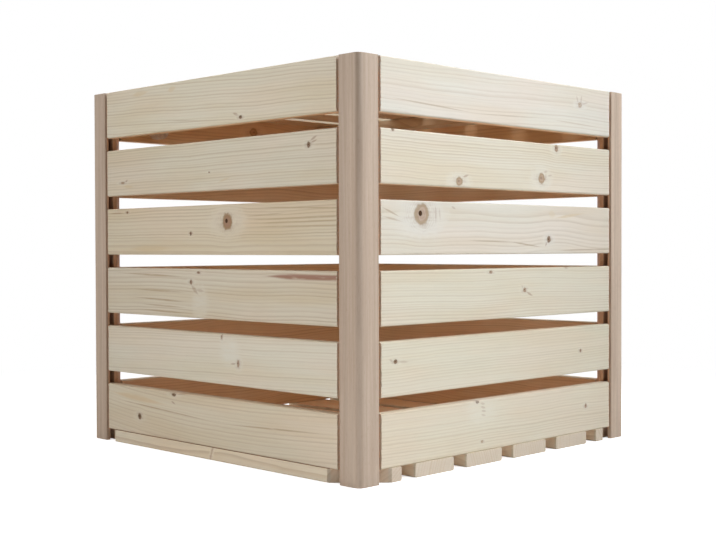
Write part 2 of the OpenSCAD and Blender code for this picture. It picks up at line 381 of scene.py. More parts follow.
class Nodes:
    """Adds shader nodes to one tree."""

    def __init__(self, tree):
        self.tree = tree

    def feed(self, socket, value):
        """Links value to socket if it is an output, and otherwise sets it there."""
        if isinstance(value, Value):
            value = value.socket
        if isinstance(value, bpy.types.NodeSocket):
            self.tree.links.new(value, socket)
        elif value is not None:
            socket.default_value = value

    def node(self, kind, inputs=(), **settings):
        made = self.tree.nodes.new(kind)
        for key, value in settings.items():
            setattr(made, key, value)
        for key, value in dict(inputs).items():
            self.feed(made.inputs[key], value)
        return made

    def value(self, kind, inputs=(), output=0, **settings):
        """One output of a new node, ready to be reckoned with."""
        return Value(self, self.node(kind, inputs, **settings).outputs[output])

    def math(self, operation, *values, clamp=False):
        return self.value("ShaderNodeMath", enumerate(values), operation=operation, use_clamp=clamp)

    def coordinate(self, kind):
        return self.value("ShaderNodeTexCoord", output=kind)

    def vector(self, x, y, z):
        return self.value("ShaderNodeCombineXYZ", enumerate((x, y, z)))

    def vector_math(self, operation, *vectors, output=0):
        return self.value("ShaderNodeVectorMath", enumerate(vectors), output, operation=operation)

    def split(self, vector):
        return [Value(self, part) for part in self.node("ShaderNodeSeparateXYZ", {0: vector}).outputs]

    def group(self, name, maker, inputs):
        """The outputs, by name, of the group of this name, which maker makes the first time."""
        tree = bpy.data.node_groups.get(name) or maker(name)
        made = self.node("ShaderNodeGroup", inputs, node_tree=tree)
        return {socket.name: Value(self, socket) for socket in made.outputs}

    def stretched(self, vector, scale, seed, detail=2.0, roughness=0.5):
        """Noise scaled differently along each axis, at a place of its own."""
        return self.noise(
            self.vector_math("MULTIPLY_ADD", vector, scale, (seed, seed, seed)), detail, roughness)

    def noise(self, vector, detail=2.0, roughness=0.5):
        inputs = {"Vector": vector, "Scale": 1.0, "Detail": detail, "Roughness": roughness}
        return self.value("ShaderNodeTexNoise", inputs)

    def mix(self, share, first, second, blend="MIX"):
        """Colour that goes from first to second as share goes from 0 to 1."""
        made = self.node("ShaderNodeMix", data_type="RGBA", blend_type=blend)
        self.feed(look_up(made.inputs, "Factor_Float"), share)
        self.feed(look_up(made.inputs, "A_Color"), opaque(first))
        self.feed(look_up(made.inputs, "B_Color"), opaque(second))
        return Value(self, look_up(made.outputs, "Result_Color"))

    def tint(self, colour, tint):
        return self.mix(1.0, colour, tint, "MULTIPLY")

    def shade(self, colour, level):
        return self.tint(colour, self.vector(level, level, level))


def opaque(colour):
    """A colour as four numbers, or the output that it comes from."""
    return colour if isinstance(colour, Value) else (*colour, 1.0)


def new_group(name, inputs):
    """An empty shader group with these inputs."""
    group = bpy.data.node_groups.new(name, "ShaderNodeTree")
    for label, kind in inputs.items():
        group.interface.new_socket(label, in_out="INPUT", socket_type="NodeSocket" + kind)
    nodes = Nodes(group)
    return group, nodes, nodes.node("NodeGroupInput").outputs


def close_group(group, nodes, results):
    """Gives the group one output for each of these results."""
    for label in results:
        group.interface.new_socket(label, in_out="OUTPUT", socket_type="NodeSocketFloat")
    nodes.node("NodeGroupOutput", results)
    return group


def knot_group(name):
    """One knot, a branch through the board: how it bends the grain and where its parts lie."""
    group, nodes, given = new_group(name, {"Board": "Vector", "Centre": "Vector", "Half size": "Vector"})
    u, v, w = nodes.split(given["Board"])
    centre_u, centre_v, slant = nodes.split(given["Centre"])
    half_u, half_v, seed = nodes.split(given["Half size"])
    x = (u - slant.fit(w, centre_u)) / half_u
    y = (v - centre_v) / half_v
    x2 = x * x
    y2 = y * y
    lumps = nodes.noise(nodes.vector(x * 1.3, y * 1.3, seed)).fit(0.7, -0.35)
    far = (x2 + y2).of("SQRT") + lumps
    drawn_out = x2.fit(0.35, y2).of("SQRT") + lumps * 2.0
    # The grain parts above and below the knot and closes again beyond it
    part = y / (y2 + 1.2).of("SQRT")
    bend = part * (abs(y) * -0.5).of("EXPONENT") * (x2 * -0.13).of("EXPONENT")
    pith = x.fit(0.4, x2) + y.fit(-0.2, y2)
    return close_group(group, nodes, {
        "Bend": bend * half_v,
        "Body": far.step(1.26, 0.74),
        "Core": far.step(0.75, 0.1),
        "Rings": (far * 21.0).of("SINE").step(-0.3, 0.9),
        "Edge": far.step(0.55, 0.85) * far.step(1.25, 0.85),
        "Heart": pith.step(0.045, 0.0),
        "Stain": drawn_out.step(2.0, 0.8),
        "Halo": drawn_out.step(3.0, 1.0),
    })


def grain_group(name):
    """Growth rings round the heart of the tree, with the fibres that run along the board."""
    group, nodes, given = new_group(name, {
        "Board": "Vector", "Heart": "Vector", "Ring": "Float", "Bow": "Float", "Sway": "Float",
        "Bend": "Float", "Seed": "Float"})
    u, v, w = nodes.split(given["Board"])
    heart_v, heart_w, slope = nodes.split(given["Heart"])
    seed = given["Seed"]
    seeded = nodes.vector_math("ADD", given["Board"], nodes.vector(seed, seed, 0.0))

    def streaky(along, across, start, detail=2.0, roughness=0.5):
        """Noise drawn out along the board."""
        return nodes.stretched(seeded, (along, across, across), start, detail, roughness)

    sway = (streaky(6, 9, 0.0, 1.0) - 0.5) * given["Sway"]
    line = u.fit(slope, (u * u).fit(given["Bow"], heart_v)) + given["Bend"]
    line = streaky(45, 60, 2.1).fit(0.9 * MM, sway.fit(0.03, line))
    off_v = v - line
    off_w = sway.fit(0.02, w - heart_w)
    radius = (off_v * off_v + off_w * off_w).of("SQRT")
    uneven = nodes.noise(nodes.vector(radius * 90.0, seed, 0.0), 1.0)
    turns = uneven.fit(2.0, radius / given["Ring"])
    share = turns.of("FRACT")
    luck = nodes.value(
        "ShaderNodeTexWhiteNoise", {"W": turns.of("FLOOR") + seed}, "Value", noise_dimensions="1D")
    return close_group(group, nodes, {
        "Late": share.step(0.35, 0.88) * share.step(1.0, 0.9) * luck.fit(1.1, 0.3),
        "Thread": nodes.noise(nodes.vector(radius * 750.0, u * 5.0, seed)),
        "Band": streaky(5, 40, 8.8, 3.0),
        "Patch": streaky(8, 22, 4.4),
        "Streak": streaky(60, 480, 3.3),
        "Fibre": streaky(30, 1400, 1.9, 3.0, 0.6),
        "Fleck": streaky(160, 1500, 6.6, 1.0).step(0.66, 0.78),
    })


def board_coordinates(nodes, place, size):
    """Coordinates along, across and out of a board's show face."""
    back = (place @ Matrix.Translation((0, 0, size.z / 2))).inverted()
    inputs = {
        "Vector": nodes.coordinate("Object"), "Location": back.translation, "Rotation": back.to_euler("XYZ")}
    return nodes.value("ShaderNodeMapping", inputs, vector_type="POINT")


def paint_warm_bounce_shade(nodes, colour, finish, bounce_shade_strength=1.0):
    """The colour, with painted warm bounce shade of this strength on what faces the space inside the crate.
    """
    x, y, z = nodes.split(nodes.coordinate("Object"))
    upward = nodes.split(nodes.coordinate("Normal"))[2]
    wall_low, wall_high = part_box("right_slat_1")
    near, far = wall_high.x - 1.0 * MM, wall_high.x - 2.5 * MM
    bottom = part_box("base_board_1")[1].z
    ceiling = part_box("lid_board_1")[0].z
    wall_top = upward.step(0.3, 0.7, 0.0, wall_high.x - wall_low.x)
    within = (abs(x) + wall_top).step(near, far) * (abs(y) + wall_top).step(near, far)
    above = z.step(bottom - 0.7 * MM, bottom - 0.2 * MM, 0.25, 1.0)
    below = z.step(ceiling + 0.8 * MM, ceiling + 0.3 * MM)
    # Faces that look up, above the base, are lit from above and get none of the painted shade
    lit_from_above = upward.step(0.3, 0.7) * z.step(bottom + 10 * MM, bottom + 20 * MM)
    share = within * (above * below) * lit_from_above.fit(-bounce_shade_strength, bounce_shade_strength)
    tint = [inner / outer for inner, outer in zip(finish.spruce_bounce_shade, finish.spruce_early)]
    # The painted shade grows warmer towards the lid
    deeper_shade = [part * deep for part, deep in zip(tint, UNDER_LID_SHADE_TINT)]
    tint = nodes.mix(z.step(ceiling - 60 * MM, ceiling - 25 * MM), tint, deeper_shade)
    return nodes.mix(share, colour, nodes.tint(colour, tint))


def joint_dust_and_shade(nodes):
    """1 in the narrow joint between a lowest slat and the outer base board, as seen from outside, which is
    painted dark: partly dust, partly contact shade.
    """
    x, y, z = nodes.split(nodes.coordinate("Object"))
    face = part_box("right_slat_1")[1].x
    gap = abs(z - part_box("base_board_1")[1].z)
    return abs(y).step(face - 1.7 * MM, face - 1.2 * MM) * gap.step(0.5 * MM, 0.2 * MM)


def end_share(nodes, place):
    """1 where the surface looks along the grain, as a sawn end does, and 0 on the board's sides."""
    facing = nodes.vector_math("DOT_PRODUCT", nodes.coordinate("Normal"), place.to_3x3() @ X, output="Value")
    return abs(facing).step(0.55, 0.85)


def edge_share(nodes, parts, size):
    """1 along the long edges of a board, fading out a few millimetres from them."""
    room_v = size.y / 2 - abs(parts[1])
    room_w = size.z / 2 - abs(parts[2] + size.z / 2)
    return (room_v + room_w).step(3.2 * MM, 0.8 * MM)


def new_material(name):
    """A material with an empty tree but for its shader, and the maker of its nodes."""
    material = bpy.data.materials.new(name)
    material.use_nodes = True
    material.node_tree.nodes.clear()
    nodes = Nodes(material.node_tree)
    shader = nodes.node("ShaderNodeBsdfPrincipled")
    nodes.node("ShaderNodeOutputMaterial", {"Surface": shader.outputs[0]})
    return material, nodes, shader


def dress(nodes, shader, colour, roughness, height, relief, strength=0.25):
    """Gives the shader its colour and roughness, and a bump of this relief."""
    nodes.feed(shader.inputs["Base Color"], colour)
    nodes.feed(shader.inputs["Roughness"], roughness)
    inputs = {"Strength": strength, "Distance": relief, "Height": height}
    nodes.feed(shader.inputs["Normal"], nodes.value("ShaderNodeBump", inputs))


def stroke_share(nodes, parts, stroke):
    """1 on a stroke, which grows from nothing at its start and, unless it is blunt, narrows to its end."""
    start = Vector(stroke.start) * MM
    reach = Vector(stroke.end) * MM - start
    unit = reach.normalized()
    du = parts[0] - start.x
    dv = parts[1] - start.y
    ahead = du * unit.x + dv * unit.y
    aside = dv * unit.x - du * unit.y
    half = stroke.half * MM
    room = ahead.step(0.0, 0.4 * reach.length, 0.0, half)
    if not stroke.blunt:
        room = room * ahead.step(reach.length, 0.5 * reach.length)
    return (room - abs(aside)).step(-0.2 * half, 0.6 * half)


def knot_tone(finish, dark):
    """Colour of a knot's body: pale at 0, brown in the middle and near black at 1."""
    stops = [Vector(finish.knot_pale), Vector(finish.knot_wood), Vector(finish.knot_bark)]
    first = 0 if dark < 0.5 else 1
    return stops[first].lerp(stops[first + 1], 2 * dark - first)


def draw_knot(nodes, colour, knot, mark, streak, finish):
    """Lays one knot over the colour. A negative darkness leaves only its pale surroundings."""
    if knot.dark < 0:
        return nodes.mix(mark["Halo"] * streak.step(0.2, 0.65) * 0.5, colour, finish.spruce_pale)
    calm = min(1.0, max(knot.half_along, knot.half_across) / 4.5)
    colour = nodes.mix(mark["Halo"] * (0.55 * calm), colour, finish.spruce_pale)
    # Wood lies round a branch in rings of its own
    colour = nodes.mix(mark["Stain"] * mark["Rings"] * (0.3 * calm), colour, finish.spruce_late)
    stain = mark["Stain"] * streak.step(0.35, 0.65)
    colour = nodes.mix(stain * (0.5 - 0.3 * calm), colour, finish.knot_wood)
    body = knot_tone(finish, knot.dark)
    fibres = streak.step(0.42, 0.62, 0.0, 0.3)
    for share in (mark["Core"] * (0.45 * calm), mark["Rings"] * (0.35 * calm), fibres):
        body = nodes.mix(share, body, finish.knot_wood)
    cover = 0.55 + (0.7 if calm == 1 else 0.4) * knot.dark
    colour = nodes.mix(mark["Body"] * cover, colour, body)
    colour = nodes.mix(mark["Edge"] * (0.55 * calm), colour, finish.knot_rim)
    heart = 1.0 if knot.dark > 0.4 or knot.half_along > 6 else 0.3
    return nodes.mix(mark["Heart"] * heart, colour, finish.knot_bark)


def spruce(name, place, size, board, finish, shoulder=None, bounce_shade_strength=1.0):
    """Planed spruce, cut as board says. Beyond shoulder from its middle it is rough and brown."""
    material, nodes, shader = new_material(name)
    coords = board_coordinates(nodes, place, size)
    parts = nodes.split(coords)
    marks = []
    for index, knot in enumerate(board.knots):
        mark = nodes.group("Knot in a board", knot_group, {
            "Board": coords,
            "Centre": (knot.along * MM, knot.across * MM, 0.35 - 0.5 * (index % 2)),
            "Half size": (knot.half_along * MM, knot.half_across * MM, board.seed + 3.7 * index),
        })
        marks.append((knot, mark))
    bends = [mark["Bend"] for knot, mark in marks if knot.dark >= 0]
    grain = nodes.group("Grain of a board", grain_group, {
        "Board": coords,
        "Heart": (board.heart[0] * MM, board.heart[1] * MM, board.slope),
        "Ring": board.ring * MM,
        "Bow": board.bow,
        "Sway": board.sway,
        "Bend": sum(bends[1:], bends[0]) if bends else None,
        "Seed": float(board.seed),
    })
    late = grain["Late"]
    for knot, mark in marks:
        calm = min(1.0, max(knot.half_along, knot.half_across) / 6)
        late = late * mark["Halo"].fit(-0.85 * calm, 1.0)
    strength = 0.5 * board.strength
    colour = nodes.mix(grain["Band"].step(0.38, 0.72) * strength, finish.spruce_early, finish.spruce_warm)
    patches = nodes.mix(grain["Patch"].step(0.35, 0.65), (1.0, 0.972, 0.955), (0.98, 0.995, 0.98))
    colour = nodes.tint(colour, patches)
    colour = nodes.mix(late * strength, colour, finish.spruce_late)
    level = grain["Thread"].fit(0.12, grain["Fibre"].fit(0.14, 0.88))
    colour = nodes.shade(colour, grain["Fleck"].fit(-0.05, level))
    streak = grain["Streak"]
    for knot, mark in marks:
        colour = draw_knot(nodes, colour, knot, mark, streak, finish)
    for stroke in board.strokes:
        cover = stroke_share(nodes, parts, stroke) * streak.step(0.0, 0.55)
        cover = nodes.math("MULTIPLY", cover, stroke.cover, clamp=True)
        colour = nodes.mix(cover, colour, getattr(finish, stroke.colour))
    ends = end_share(nodes, place)
    colour = nodes.mix(ends * 0.85, colour, nodes.mix(late * 0.5, finish.end_grain, finish.spruce_late))
    # The long edges are a little darker, unevenly along the board
    darker_edges = edge_share(nodes, parts, size) * grain["Band"]
    colour = nodes.mix(darker_edges * 0.2, colour, finish.spruce_late)
    colour = nodes.tint(colour, board.tint)
    # Painted warm bounce shade on what faces the inside of the crate
    colour = paint_warm_bounce_shade(nodes, colour, finish, bounce_shade_strength)
    rough = ends
    if shoulder:
        # The tongue and the torn shoulder are painted as rough sawn wood with dark teeth; their brown also
        # stands in for shade in the narrow gap beside the post
        teeth = nodes.stretched(coords, (150, 620, 150), board.seed, 1.0)
        reach = teeth.step(0.45, 0.6).fit(1.3 * MM, abs(parts[0]))
        torn = reach.step(shoulder + 0.1 * MM, shoulder + 0.6 * MM)
        rough = nodes.math("MAXIMUM", ends, torn)
        sawn_and_shaded = nodes.mix(teeth.step(0.4, 0.6, 0.0, 0.3), finish.sawn, finish.knot_wood)
        colour = nodes.mix(torn * 0.95, colour, sawn_and_shaded)
    # Painted contact shade, with some dust, darkens the joint between the lowest slat and the base
    colour = nodes.mix(joint_dust_and_shade(nodes) * 0.95, colour, finish.knot_wood)
    saw_marks = nodes.stretched(coords, (900, 120, 1400), board.seed)
    roughness = rough.fit(0.25, grain["Fibre"].fit(0.16, 0.5))
    height = grain["Fibre"].fit(0.5, late) + saw_marks * rough * 5.0
    shader.inputs["Specular IOR Level"].default_value = WOOD_SHEEN
    dress(nodes, shader, colour, roughness, height, 0.2 * MM)
    return material


def groove_share(nodes, parts, side, start, sizes):
    """1 on the walls and floor of a post's two grooves, where shade is painted, from this height above its
    middle.
    """
    first = parts[1] + side / 2
    second = parts[2] + side
    slack = 0.2 * MM
    middle = sizes.groove_lip + sizes.groove_width / 2
    reach = sizes.groove_width / 2 + slack
    floor = side - sizes.groove_depth - slack
    found = [
        nodes.math("LESS_THAN", abs(across - middle), reach) * nodes.math("GREATER_THAN", deep, floor)
        for across, deep in ((first, second), (second, first))
    ]
    return nodes.math("MAXIMUM", *found) * parts[0].step(start, start + 1 * MM)


def beech(name, place, size, seed, pale, finish, sizes=None):
    """Planed beech: this pale colour with fine dark flecks and soft streaks along the grain.

    With sizes it is a post's, which takes the painted warm bounce shade inside the crate and painted shade,
    brown, in its grooves."""
    material, nodes, shader = new_material(name)
    coords = board_coordinates(nodes, place, size)
    parts = nodes.split(coords)
    flecks = nodes.stretched(coords, (170, 1500, 1500), seed).step(0.52, 0.74)
    streaks = nodes.stretched(coords, (8, 330, 330), seed + 3.3, 3.0, 0.6)
    bands = nodes.stretched(coords, (4, 90, 90), seed + 7.1)
    dark = finish.beech_dark
    colour = nodes.mix(streaks.step(0.35, 0.7, 0.05, 0.43), pale, dark)
    colour = nodes.mix(flecks * 0.3, colour, dark)
    colour = nodes.shade(colour, bands.fit(0.3, 0.87))
    # A post's sawn ends are darker; a peg's end keeps its pale colour as painted light, as it lies in shade
    colour = nodes.mix(end_share(nodes, place) * (0.35 if sizes else 0.0), colour, dark)
    colour = nodes.mix(edge_share(nodes, parts, size) * 0.2, colour, dark)
    if sizes:
        # Painted warm bounce shade on the post's faces inside the crate
        colour = paint_warm_bounce_shade(nodes, colour, finish)
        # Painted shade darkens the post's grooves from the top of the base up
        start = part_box("base_board_1")[1].z - size.x / 2
        groove_shade = groove_share(nodes, parts, size.y, start, sizes) * 0.75
        colour = nodes.mix(groove_shade, colour, finish.knot_wood)
    shader.inputs["Specular IOR Level"].default_value = WOOD_SHEEN
    dress(nodes, shader, colour, flecks.fit(0.15, 0.5), streaks + flecks * -0.8, 0.15 * MM)
    return material


def zinc_steel(name, finish):
    """Yellow zinc plating, a little uneven and dulled by handling."""
    material, nodes, shader = new_material(name)
    cloud = nodes.stretched(nodes.coordinate("Object"), (400, 400, 400), 2.5, 3.0)
    dull = [channel * 0.6 for channel in finish.zinc]
    colour = nodes.mix(cloud.step(0.4, 0.7), finish.zinc, dull)
    shader.inputs["Metallic"].default_value = 1.0
    dress(nodes, shader, colour, cloud.fit(0.3, 0.22), cloud, 0.05 * MM, 0.1)
    return material


def board_place(node, along, outward):
    """Matrix from a board's own axes to the crate's, and its length, width and thickness.

    The board's X runs along the grain and its Z comes out of the show face."""
    low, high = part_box(node)
    across = outward.cross(along)
    turn = Matrix((along, across, outward)).transposed().to_4x4()
    extent = high - low
    size = Vector([abs(extent.dot(axis)) for axis in (along, across, outward)])
    return Matrix.Translation((low + high) / 2) @ turn, size


def block(size):
    """A bmesh with one box of this size about the origin."""
    bm = bmesh.new()
    bmesh.ops.create_cube(bm, size=1.0)
    bmesh.ops.scale(bm, vec=size, verts=bm.verts)
    return bm


def bevel(bm, edges, width, segments=1):
    bmesh.ops.bevel(
        bm, geom=edges, offset=width, segments=segments, affect="EDGES", profile=0.5, material=-1,
        clamp_overlap=True)


def runs_along(edge):
    """True if the edge runs along the board."""
    line = edge.verts[1].co - edge.verts[0].co
    return abs(line.normalized().x) > 0.999


def at_end(edge, end):
    """True if the edge lies in the plane of one of the board's ends."""
    first, second = (abs(vert.co.x) for vert in edge.verts)
    return min(first, second) > end - NEAR


def round_long_edges(bm, size, radius, under=None):
    """Rounds a board's long edges. Those behind its show face get the radius under if it is given."""
    corner_y = size.y / 2 - NEAR
    corner_z = size.z / 2 - NEAR
    for side, width in ((1, radius), (-1, under or radius)):
        edges = [
            edge for edge in bm.edges
            if runs_along(edge)
            and all(abs(vert.co.y) > corner_y and vert.co.z * side > corner_z for vert in edge.verts)
        ]
        bevel(bm, edges, width, segments=5)


def set_faces_right(bm):
    """Joins vertices that lie together, drops faces without area and turns the rest outward."""
    bmesh.ops.remove_doubles(bm, verts=bm.verts, dist=0.002 * MM)
    bmesh.ops.dissolve_degenerate(bm, dist=0.002 * MM, edges=bm.edges)
    bmesh.ops.recalc_face_normals(bm, faces=bm.faces)
    if bm.calc_volume(signed=True) < 0:
        bmesh.ops.reverse_faces(bm, faces=bm.faces)


def finish_piece(bm, name, place, material, body, node):
    """Makes a mesh object of bm, set in its place, and lets it stand for the CAD node."""
    bm.transform(place)
    set_faces_right(bm)
    for face in bm.faces:
        face.smooth = True
    mesh = bpy.data.meshes.new(name)
    bm.to_mesh(mesh)
    bm.free()
    mesh.set_sharp_from_angle(angle=math.radians(40))
    mesh.materials.append(material)
    piece = bpy.data.objects.new(name, mesh)
    bpy.context.scene.collection.objects.link(piece)
    shading = piece.modifiers.new("Even shading", "WEIGHTED_NORMAL")
    shading.keep_sharp = True
    shading.weight = 100
    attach(piece, body)
    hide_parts(node)
    return piece


def sink_screws(piece, sizes, spots, height):
    """Cuts countersunk holes for screws that come up from below at these spots."""
    bm = bmesh.new()
    play = 0.1 * MM
    start = -0.3 * MM
    deep = 6 * MM
    head = sizes.screw_head / 2 + play
    shank = sizes.screw_shank / 2 + play
    for spot in spots:
        for low, high, low_radius, high_radius in (
            (start, 0.0, head, head),
            (0.0, sizes.head_height, head, shank),
            (sizes.head_height, deep, shank, shank),
        ):
            middle = Matrix.Translation((spot[0], spot[1], height + (low + high) / 2))
            bmesh.ops.create_cone(
                bm, cap_ends=True, segments=24, radius1=low_radius, radius2=high_radius,
                depth=high - low, matrix=middle)
    bmesh.ops.remove_doubles(bm, verts=bm.verts, dist=0.001 * MM)
    doubled = [face for face in bm.faces if all(len(edge.link_faces) > 2 for edge in face.edges)]
    bmesh.ops.delete(bm, geom=doubled, context="FACES_ONLY")
    bmesh.ops.recalc_face_normals(bm, faces=bm.faces)
    mesh = bpy.data.meshes.new("countersinks")
    bm.to_mesh(mesh)
    bm.free()
    cutter = bpy.data.objects.new("countersinks", mesh)
    bpy.context.scene.collection.objects.link(cutter)
    shading = piece.modifiers[0]
    shading.show_viewport = False
    cut_away = piece.modifiers.new("Countersinks", "BOOLEAN")
    cut_away.operation = "DIFFERENCE"
    cut_away.solver = "EXACT"
    cut_away.object = cutter
    bpy.context.view_layer.update()
    graph = bpy.context.evaluated_depsgraph_get()
    drilled = bpy.data.meshes.new_from_object(piece.evaluated_get(graph))
    bm = bmesh.new()
    bm.from_mesh(drilled)
    set_faces_right(bm)
    bm.to_mesh(drilled)
    bm.free()
    piece.modifiers.remove(cut_away)
    shading.show_viewport = True
    piece.data = drilled
    bpy.data.objects.remove(cutter)


def lucky_cut(seed, length, width):
    """A board nobody has seen: its heart, rings and a knot or two come from the seed."""
    luck = random.Random(seed)
    side = luck.choice((-1, 1))
    knots = []
    for _ in range(luck.choice((0, 1, 1, 2, 3))):
        half = luck.choice((1.4, 1.8, 2.4, 3.2, 5.5))
        knots.append(Knot(
            luck.uniform(-0.45, 0.45) * length / MM, luck.uniform(-0.42, 0.42) * width / MM,
            half, half * luck.uniform(0.8, 1.1), luck.uniform(0.1, 0.6)))
    return Cut(
        heart=(side * luck.uniform(30, 130), luck.uniform(-45, -20)), ring=luck.uniform(2.8, 3.8),
        slope=luck.uniform(-0.03, 0.03), bow=luck.uniform(-0.1, 0.1), sway=luck.uniform(0.2, 1.2),
        strength=luck.uniform(0.7, 1.2), seed=seed, knots=knots)


def board_cut(node, seed, size, tint=(1, 1, 1)):
    return SEEN_BOARDS.get(node) or lucky_cut(seed, size.x, size.y)._replace(tint=tint)


def raise_tongues(bm, size, shoulder, sizes):
    """Draws the middle of each end out into the tongue that slides into a post's groove."""
    front = size.z / 2 - sizes.tongue_set
    back = front - sizes.tongue_thickness
    for height in (front, back):
        bmesh.ops.bisect_plane(
            bm, geom=bm.verts[:] + bm.edges[:] + bm.faces[:], plane_co=(0, 0, height), plane_no=(0, 0, 1))
    for side in (-1, 1):
        root = [
            face for face in bm.faces
            if face.calc_center_median().x * side > shoulder - NEAR
            and back < face.calc_center_median().z < front
        ]
        drawn = bmesh.ops.extrude_face_region(bm, geom=root)
        verts = [item for item in drawn["geom"] if isinstance(item, bmesh.types.BMVert)]
        bmesh.ops.translate(bm, vec=(side * sizes.tongue_length, 0, 0), verts=verts)
        bmesh.ops.delete(bm, geom=root, context="FACES")


def tear_shoulders(bm, size, shoulder, depth, seed):
    """Splits the shoulders across and pulls their outer edges in a little, unevenly, as a saw does."""
    luck = random.Random(seed)
    margin = 2.4 * MM
    steps = 21
    for number in range(1, steps):
        across = (number / steps - 0.5) * (size.y - 2 * margin)
        strips = [
            face for face in bm.faces
            if abs(abs(face.calc_center_median().x) - shoulder) < NEAR
        ]
        near = set(strips)
        for face in strips:
            near.update(face.edges)
            near.update(face.verts)
        bmesh.ops.bisect_plane(bm, geom=list(near), plane_co=(0, across, 0), plane_no=(0, 1, 0))
    edge_y = size.y / 2 - margin + 0.2 * MM
    edge_z = size.z / 2 - NEAR
    for vert in bm.verts:
        on_shoulder = abs(abs(vert.co.x) - shoulder) < NEAR
        if on_shoulder and abs(vert.co.z) > edge_z and abs(vert.co.y) < edge_y:
            vert.co.x -= math.copysign(depth * luck.random() ** 2, vert.co.x)


class CRATE_OT_corner_posts(Operator):
    """Makes the four grooved corner posts"""

    bl_idname = "crate.corner_posts"
    bl_label = "Corner Posts"

    def execute(self, context):
        sizes = context.scene.crate_sizes
        finish = context.scene.crate_finish
        for number, corner in enumerate(CORNERS):
            node = corner + "_post"
            turn = Matrix.Rotation(math.radians(90 * number), 3, "Z")
            place, size = board_place(node, Z, turn @ Y)
            bm = self.grooved_post(size, sizes)
            pale = Vector(finish.beech_pale) * POST_SHADES[corner]
            material = beech("beech_" + node, place, size, 3.1 * number + 1.0, pale, finish, sizes)
            finish_piece(bm, "planed_" + node, place, material, CRATE, node)
        return {"FINISHED"}

    def grooved_post(self, size, sizes):
        """A post about the origin, its outer corner towards -Y and -Z, with a groove in each inner face."""
        side = size.y
        low = sizes.groove_lip
        high = low + sizes.groove_width
        floor = side - sizes.groove_depth
        flat = side - sizes.post_chamfer
        outline = [
            (0, 0), (side, 0), (side, low), (floor, low), (floor, high), (side, high), (side, flat),
            (flat, side), (high, side), (high, floor), (low, floor), (low, side), (0, side),
        ]
        bm = bmesh.new()
        verts = [bm.verts.new((-size.x / 2, y - side / 2, z - side / 2)) for y, z in outline]
        foot = bm.faces.new(verts)
        drawn = bmesh.ops.extrude_face_region(bm, geom=[foot], use_keep_orig=True)
        top = [item for item in drawn["geom"] if isinstance(item, bmesh.types.BMVert)]
        bmesh.ops.translate(bm, vec=(size.x, 0, 0), verts=top)
        bmesh.ops.recalc_face_normals(bm, faces=bm.faces)
        outer = [
            edge for edge in bm.edges
            if runs_along(edge) and max(edge.verts[0].co.y, edge.verts[0].co.z) < 0.1 * MM - side / 2
        ]
        bevel(bm, outer, sizes.post_round, segments=8)
        inside = side / 2 - sizes.groove_depth + 0.1 * MM
        arrises = [
            edge for edge in bm.edges
            if runs_along(edge)
            and edge.calc_face_angle_signed() > SHARP
            and max(edge.verts[0].co.y, edge.verts[0].co.z) > inside
        ]
        bevel(bm, arrises, sizes.end_break, segments=2)
        rims = [edge for edge in bm.edges if at_end(edge, size.x / 2)]
        bevel(bm, rims, sizes.end_break, segments=2)
        return bm


class CRATE_OT_side_slats(Operator):
    """Makes the twenty-four side slats with their tongues"""

    bl_idname = "crate.side_slats"
    bl_label = "Side Slats"

    def execute(self, context):
        sizes = context.scene.crate_sizes
        finish = context.scene.crate_finish
        seed = 100
        for wall, (along, outward) in WALLS.items():
            for row in range(1, ROWS + 1):
                seed += 1
                node = f"{wall}_slat_{row}"
                place, size = board_place(node, along, outward)
                shoulder = size.x / 2 - sizes.tongue_length
                bm = block((2 * shoulder, size.y, size.z))
                raise_tongues(bm, size, shoulder, sizes)
                round_long_edges(bm, size, sizes.edge_round)
                tear_shoulders(bm, size, shoulder, sizes.torn_shoulder, seed)
                board = board_cut(node, seed, size)
                material = spruce(node, place, size, board, finish, shoulder)
                finish_piece(bm, "planed_" + node, place, material, CRATE, node)
        return {"FINISHED"}


def break_ends(bm, sizes):
    """Takes the sharpness off the sawn ends and cuts."""
    edges = [
        edge for edge in bm.edges
        if len(edge.link_faces) == 2
        and edge.calc_face_angle() > SHARP
        and not runs_along(edge)
    ]
    bevel(bm, edges, sizes.end_break / 2)


def saw_corners(bm, place, reach, leg):
    """Saws off what lies beyond the 45 degree lines that cut this leg off the crate's corners."""
    to_board = place.inverted()
    for side_x in (-1, 1):
        for side_y in (-1, 1):
            outward = Vector((side_x, side_y, 0)).normalized()
            point = Vector((side_x * (reach - leg), side_y * reach, place.translation.z))
            cut_edges = bmesh.ops.bisect_plane(
                bm, geom=bm.verts[:] + bm.edges[:] + bm.faces[:], plane_co=to_board @ point,
                plane_no=to_board.to_3x3() @ outward, clear_outer=True)["geom_cut"]
            edges = [item for item in cut_edges if isinstance(item, bmesh.types.BMEdge)]
            if edges:
                bmesh.ops.contextual_create(bm, geom=edges)


def screw_spots(node, screws):
    """Where the screws of a CAD node stand under another node, from the middle of each head."""
    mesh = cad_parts[screws].data
    foot = min(vert.co.z for vert in mesh.vertices)
    heads = []
    for vert in mesh.vertices:
        if vert.co.z > foot + 0.1 * MM:
            continue
        point = vert.co.xy
        head = next((head for head in heads if (head[0] - point).length < 8 * MM), None)
        if head:
            head.append(point)
        else:
            heads.append([point])
    spots = [[(min(part) + max(part)) / 2 for part in zip(*head)] for head in heads]
    low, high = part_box(node)
    return [spot for spot in spots if low.x < spot[0] < high.x and low.y < spot[1] < high.y]


